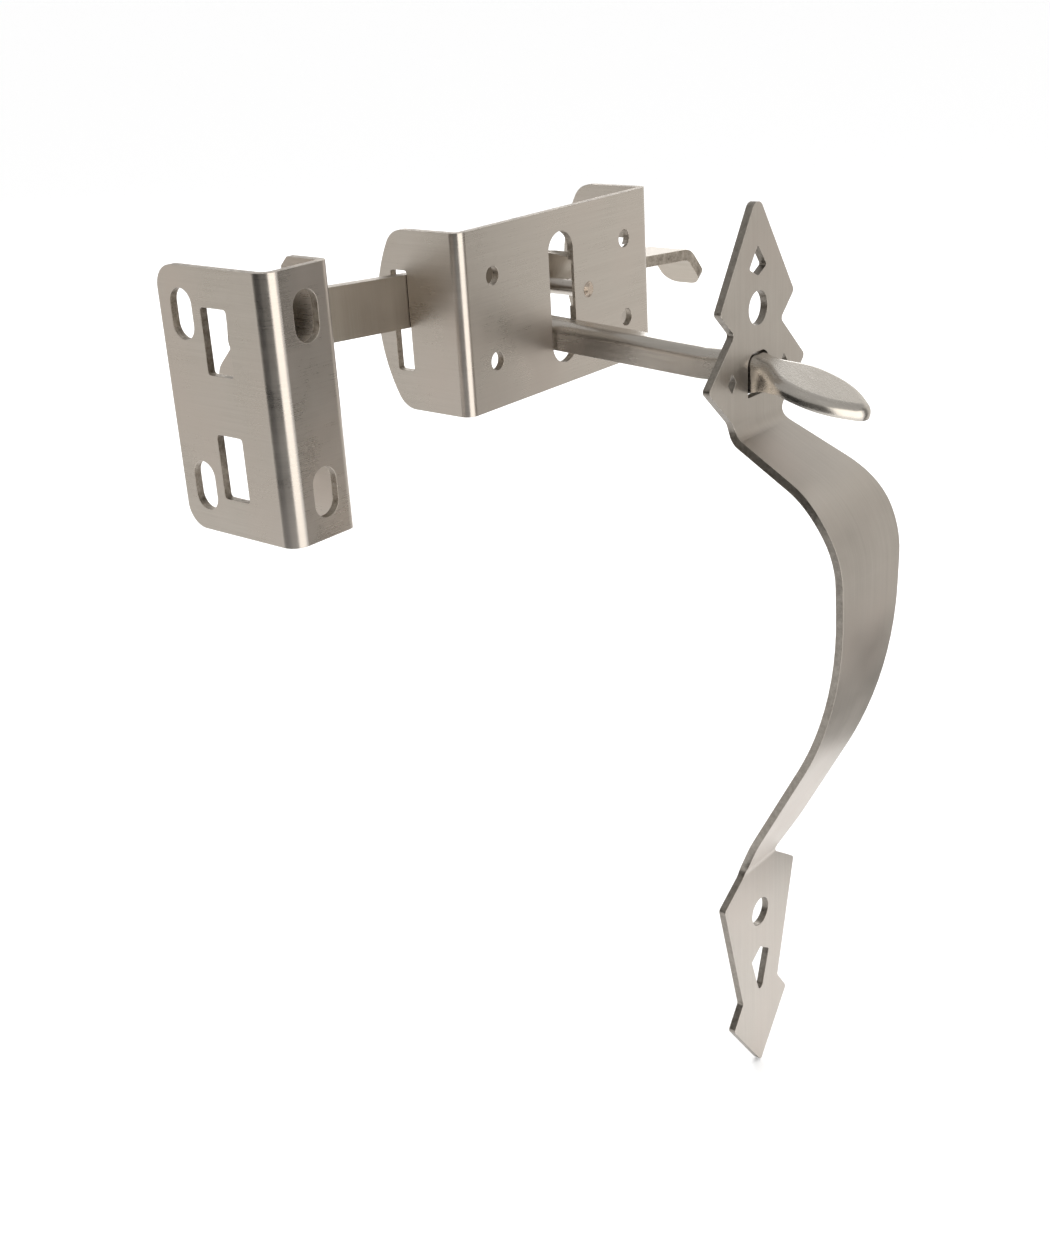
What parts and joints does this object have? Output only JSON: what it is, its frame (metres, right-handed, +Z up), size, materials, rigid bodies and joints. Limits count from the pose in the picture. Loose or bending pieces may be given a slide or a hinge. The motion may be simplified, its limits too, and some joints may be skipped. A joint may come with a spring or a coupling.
{
  "type": "gravity gate latch",
  "caption": "Gravity gate latch in satin stainless steel: strike, case with a pivoting bar and thumb tab, and a spear-shaped pull handle with a thumb lever that lifts the bar.",
  "frame": {"origin": "centre of the case bracket's mounting face, which lies on the back of the gate, midway between its four screw holes", "axes": "+X along the gate, away from the strike; +Y back from the gate, the handle is at -Y; +Z up"},
  "size_m": [0.2351, 0.1652, 0.3052],
  "materials": {
    "satin_sheet": "satin brushed stainless sheet",
    "bar_steel": "brushed stainless flat bar",
    "pressed_steel": "tumbled pressed stainless",
    "pin_steel": "turned stainless"
  },
  "bodies": {
    "brackets": {"strike_bracket": "satin_sheet", "case_bracket": "satin_sheet", "handle_pull": "satin_sheet", "bar_pivot_pin": "pin_steel", "bar_spacer_tube": "pin_steel", "bar_washer_front": "pin_steel", "bar_washer_back": "pin_steel", "lever_bracket": "pin_steel", "lever_pivot_pin": "pin_steel", "lever_pin_ring": "pin_steel", "lever_washers": "pin_steel"},
    "bar": {"latch_bar": "bar_steel"},
    "lever": {"thumb_lever": "pressed_steel"}
  },
  "joints": [
    {"name": "bar_pivot", "type": "hinge", "parent": "brackets", "child": "bar", "pos_m": [0.0138, 0.0246, 0], "axis": [0, 1, 0], "range_deg": [-9, 0]},
    {"name": "lever_pivot", "type": "hinge", "parent": "brackets", "child": "lever", "pos_m": [0, -0.067, -0.0194], "axis": [1, 0, 0], "range_deg": [-1.5, 0]}
  ],
  "couplings": [
    {"joint": "lever_pivot", "follows": "bar_pivot", "ratio": 0.153}
  ]
}
